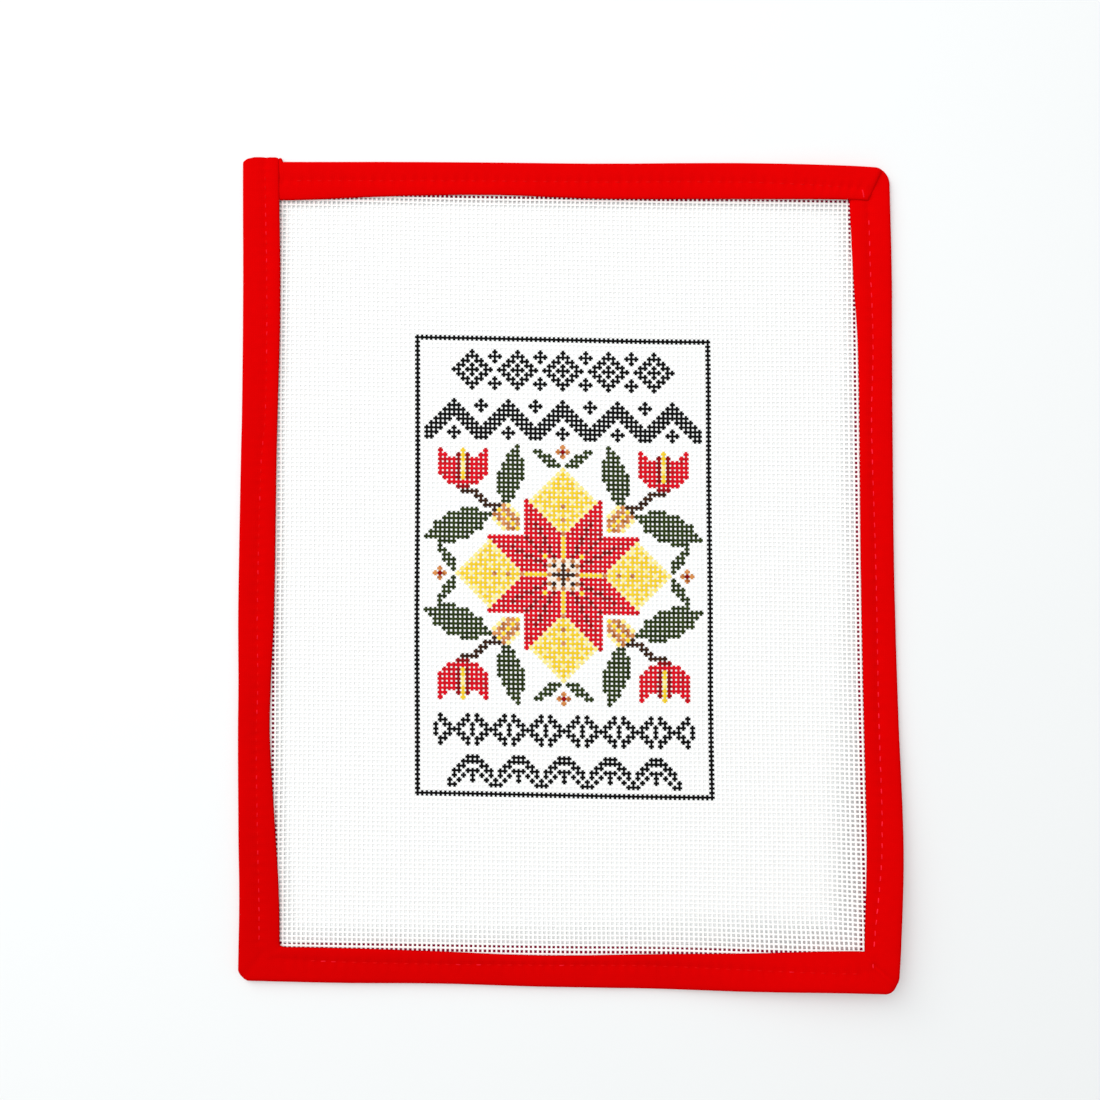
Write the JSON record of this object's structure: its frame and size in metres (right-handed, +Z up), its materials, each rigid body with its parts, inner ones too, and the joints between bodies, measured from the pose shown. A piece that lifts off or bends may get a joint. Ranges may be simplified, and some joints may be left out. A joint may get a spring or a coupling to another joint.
{
  "type": "needlepoint canvas panel",
  "caption": "Upright rectangle of white mesh canvas with a painted design to stitch over, its raw edges bound all round with folded red cotton tape.",
  "frame": {"origin": "on the surface it lies on, under the middle of its bounding box", "axes": "+Z up, out of its face; +Y towards the top of the picture, along the long sides; +X towards the picture's right"},
  "size_m": [0.203, 0.2556, 0.0091],
  "materials": {
    "white_cotton_canvas": "matt open weave",
    "red_cotton": "matt fine weave"
  },
  "bodies": {
    "root": {"canvas": "white_cotton_canvas", "binding": "red_cotton"}
  },
  "joints": []
}
